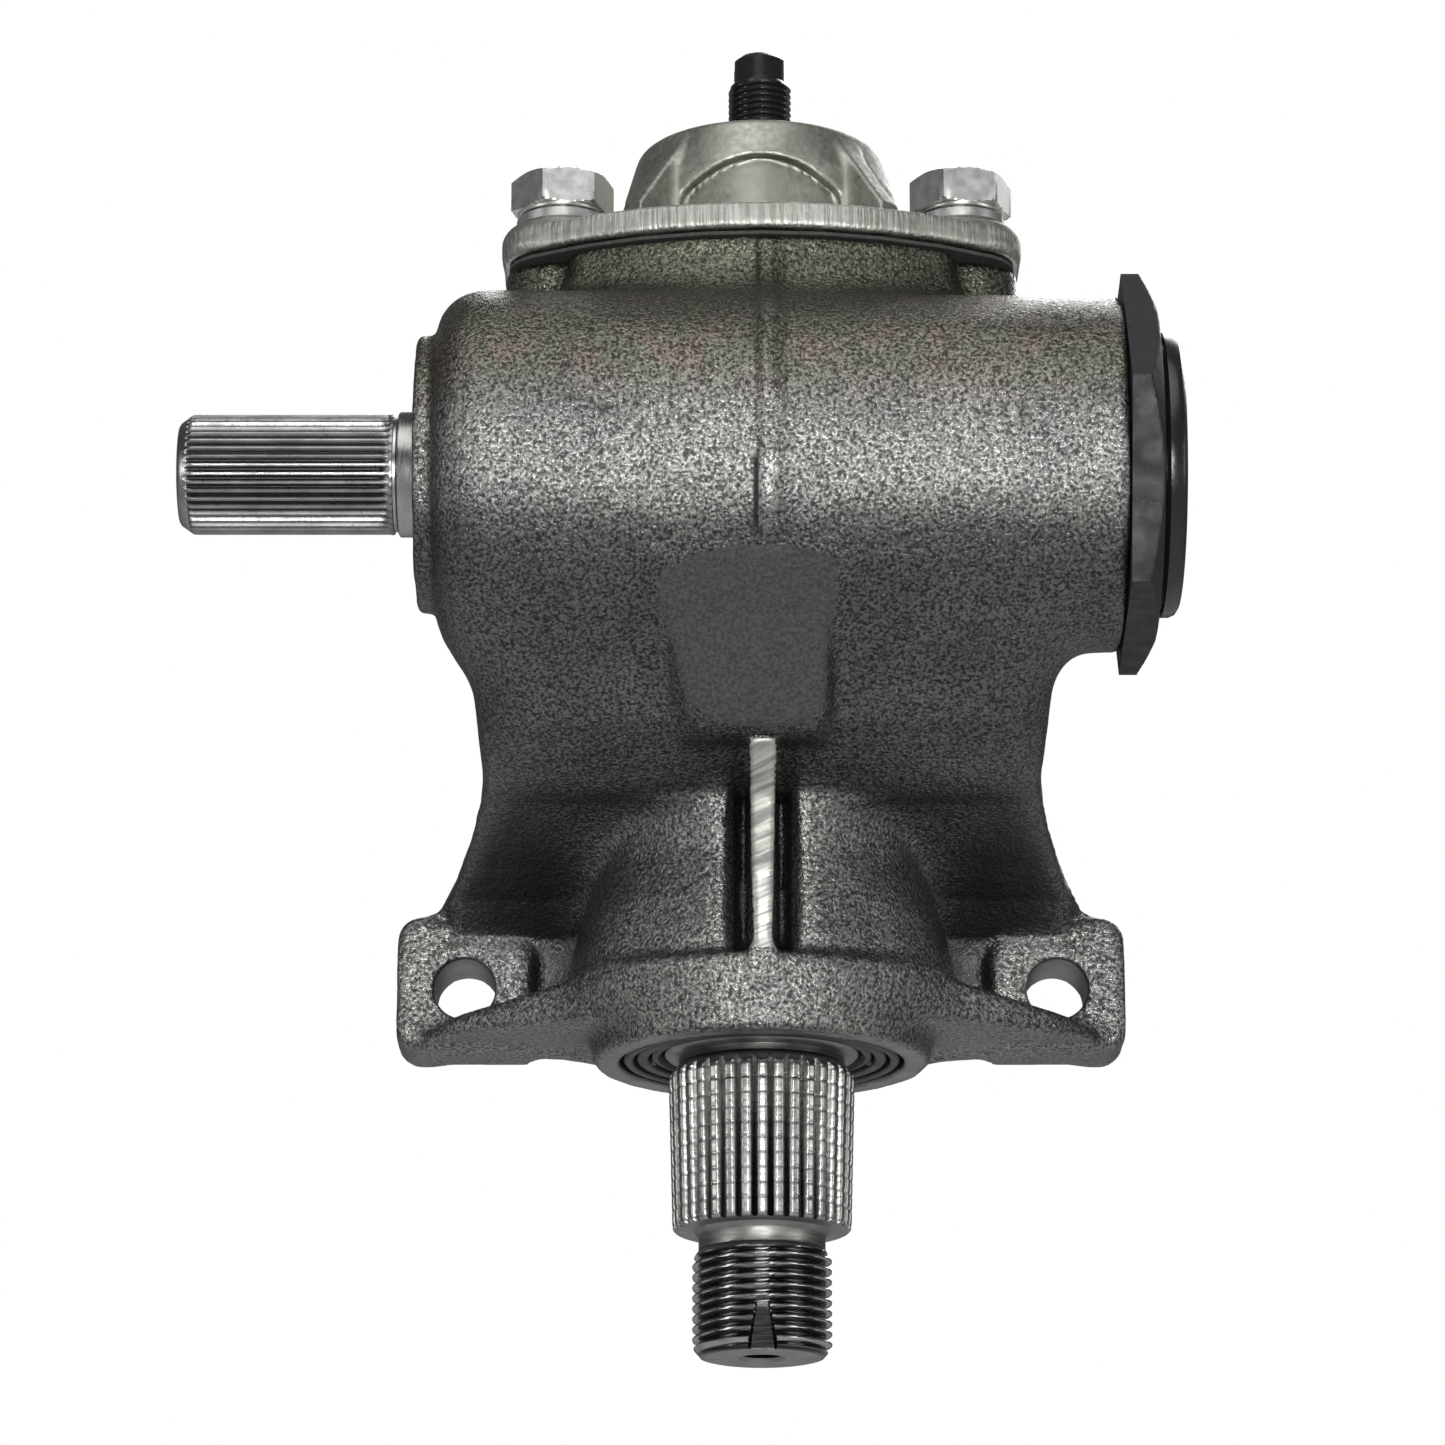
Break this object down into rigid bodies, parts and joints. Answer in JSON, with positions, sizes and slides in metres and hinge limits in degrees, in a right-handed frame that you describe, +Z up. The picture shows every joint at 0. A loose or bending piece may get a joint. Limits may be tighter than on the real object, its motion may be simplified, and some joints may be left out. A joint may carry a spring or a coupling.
{
  "type": "right angle steering gearbox",
  "caption": "Right angle worm-and-roller gearbox: a horizontal splined input shaft turns a vertical splined and threaded output shaft through a limited arc.",
  "frame": {"origin": "midway between the two frame bolt holes, on the mounting plane of the ears", "axes": "+Y into the frame that the ears are bolted to, +Z up along the output shaft towards the adjuster, the input shaft leaves towards -X"},
  "size_m": [0.1406, 0.0948, 0.1995],
  "materials": {
    "cast_iron": "coarse as-cast grain",
    "cast_aluminium": "die cast, slightly dull",
    "machined_steel": "turned and ground",
    "zinc_plated_steel": "bright zinc plating",
    "black_oxide_steel": "black oxide, satin",
    "bearing_steel": "ground",
    "seal_rubber": "matt",
    "gasket_paper": "paper fibre",
    "bush_bronze": "turned"
  },
  "bodies": {
    "gearbox_body": {"housing": "cast_iron", "top_cover": "cast_aluminium", "cover_bolt_1": "zinc_plated_steel", "cover_bolt_2": "zinc_plated_steel", "cover_bolt_3": "zinc_plated_steel", "cover_bolt_4": "zinc_plated_steel", "cover_spring_washer_1": "zinc_plated_steel", "cover_spring_washer_2": "zinc_plated_steel", "cover_spring_washer_3": "zinc_plated_steel", "cover_spring_washer_4": "zinc_plated_steel", "adjuster_lock_nut": "zinc_plated_steel", "worm_bearing_plug": "black_oxide_steel", "plug_lock_ring": "black_oxide_steel", "worm_bearing_cup_left": "bearing_steel", "worm_bearing_cup_right": "bearing_steel", "lower_bearing_shell": "bearing_steel", "input_shaft_seal": "seal_rubber", "output_shaft_seal": "seal_rubber", "plug_seal_ring": "seal_rubber", "cover_gasket": "gasket_paper", "upper_bush": "bush_bronze"},
    "output_shaft": {"sector_shaft": "machined_steel", "roller_pin": "machined_steel", "roller_thrust_washer_left": "bush_bronze", "roller_thrust_washer_right": "bush_bronze"},
    "roller": {"sector_roller": "bearing_steel"},
    "input_shaft": {"worm_shaft": "machined_steel"},
    "left_ball_set": {"worm_ball_cage_left": "bearing_steel"},
    "right_ball_set": {"worm_ball_cage_right": "bearing_steel"},
    "needle_set": {"lower_needle_cage": "bearing_steel"},
    "adjuster": {"adjusting_screw": "black_oxide_steel", "adjuster_shim": "machined_steel"}
  },
  "joints": [
    {"name": "input_turn", "type": "hinge", "parent": "gearbox_body", "child": "input_shaft", "pos_m": [0, -0.065, 0.0622], "axis": [1, 0, 0], "range_deg": [-504, 504]},
    {"name": "output_swing", "type": "hinge", "parent": "gearbox_body", "child": "output_shaft", "pos_m": [0, -0.024, 0], "axis": [0, 0, 1], "range_deg": [-34.3, 34.3]},
    {"name": "roller_spin", "type": "hinge", "parent": "output_shaft", "child": "roller", "pos_m": [0, -0.0415, 0.0622], "axis": [0.989, 0, 0.1478], "range_deg": [-525, 525]},
    {"name": "left_ball_set_turn", "type": "hinge", "parent": "gearbox_body", "child": "left_ball_set", "pos_m": [0, -0.065, 0.0622], "axis": [1, 0, 0], "range_deg": [-212, 212]},
    {"name": "right_ball_set_turn", "type": "hinge", "parent": "gearbox_body", "child": "right_ball_set", "pos_m": [0, -0.065, 0.0622], "axis": [1, 0, 0], "range_deg": [-212, 212]},
    {"name": "needle_set_turn", "type": "hinge", "parent": "gearbox_body", "child": "needle_set", "pos_m": [0, -0.024, 0], "axis": [0, 0, 1], "range_deg": [-16.2, 16.2]},
    {"name": "adjuster_turn", "type": "hinge", "parent": "gearbox_body", "child": "adjuster", "pos_m": [0, -0.024, 0], "axis": [0, 0, 1], "range_deg": [-180, 180]}
  ],
  "couplings": [
    {"joint": "output_swing", "follows": "input_turn", "ratio": 0.068027},
    {"joint": "roller_spin", "follows": "input_turn", "ratio": -1.0408},
    {"joint": "left_ball_set_turn", "follows": "input_turn", "ratio": 0.42},
    {"joint": "right_ball_set_turn", "follows": "input_turn", "ratio": 0.42},
    {"joint": "needle_set_turn", "follows": "input_turn", "ratio": 0.031973}
  ]
}
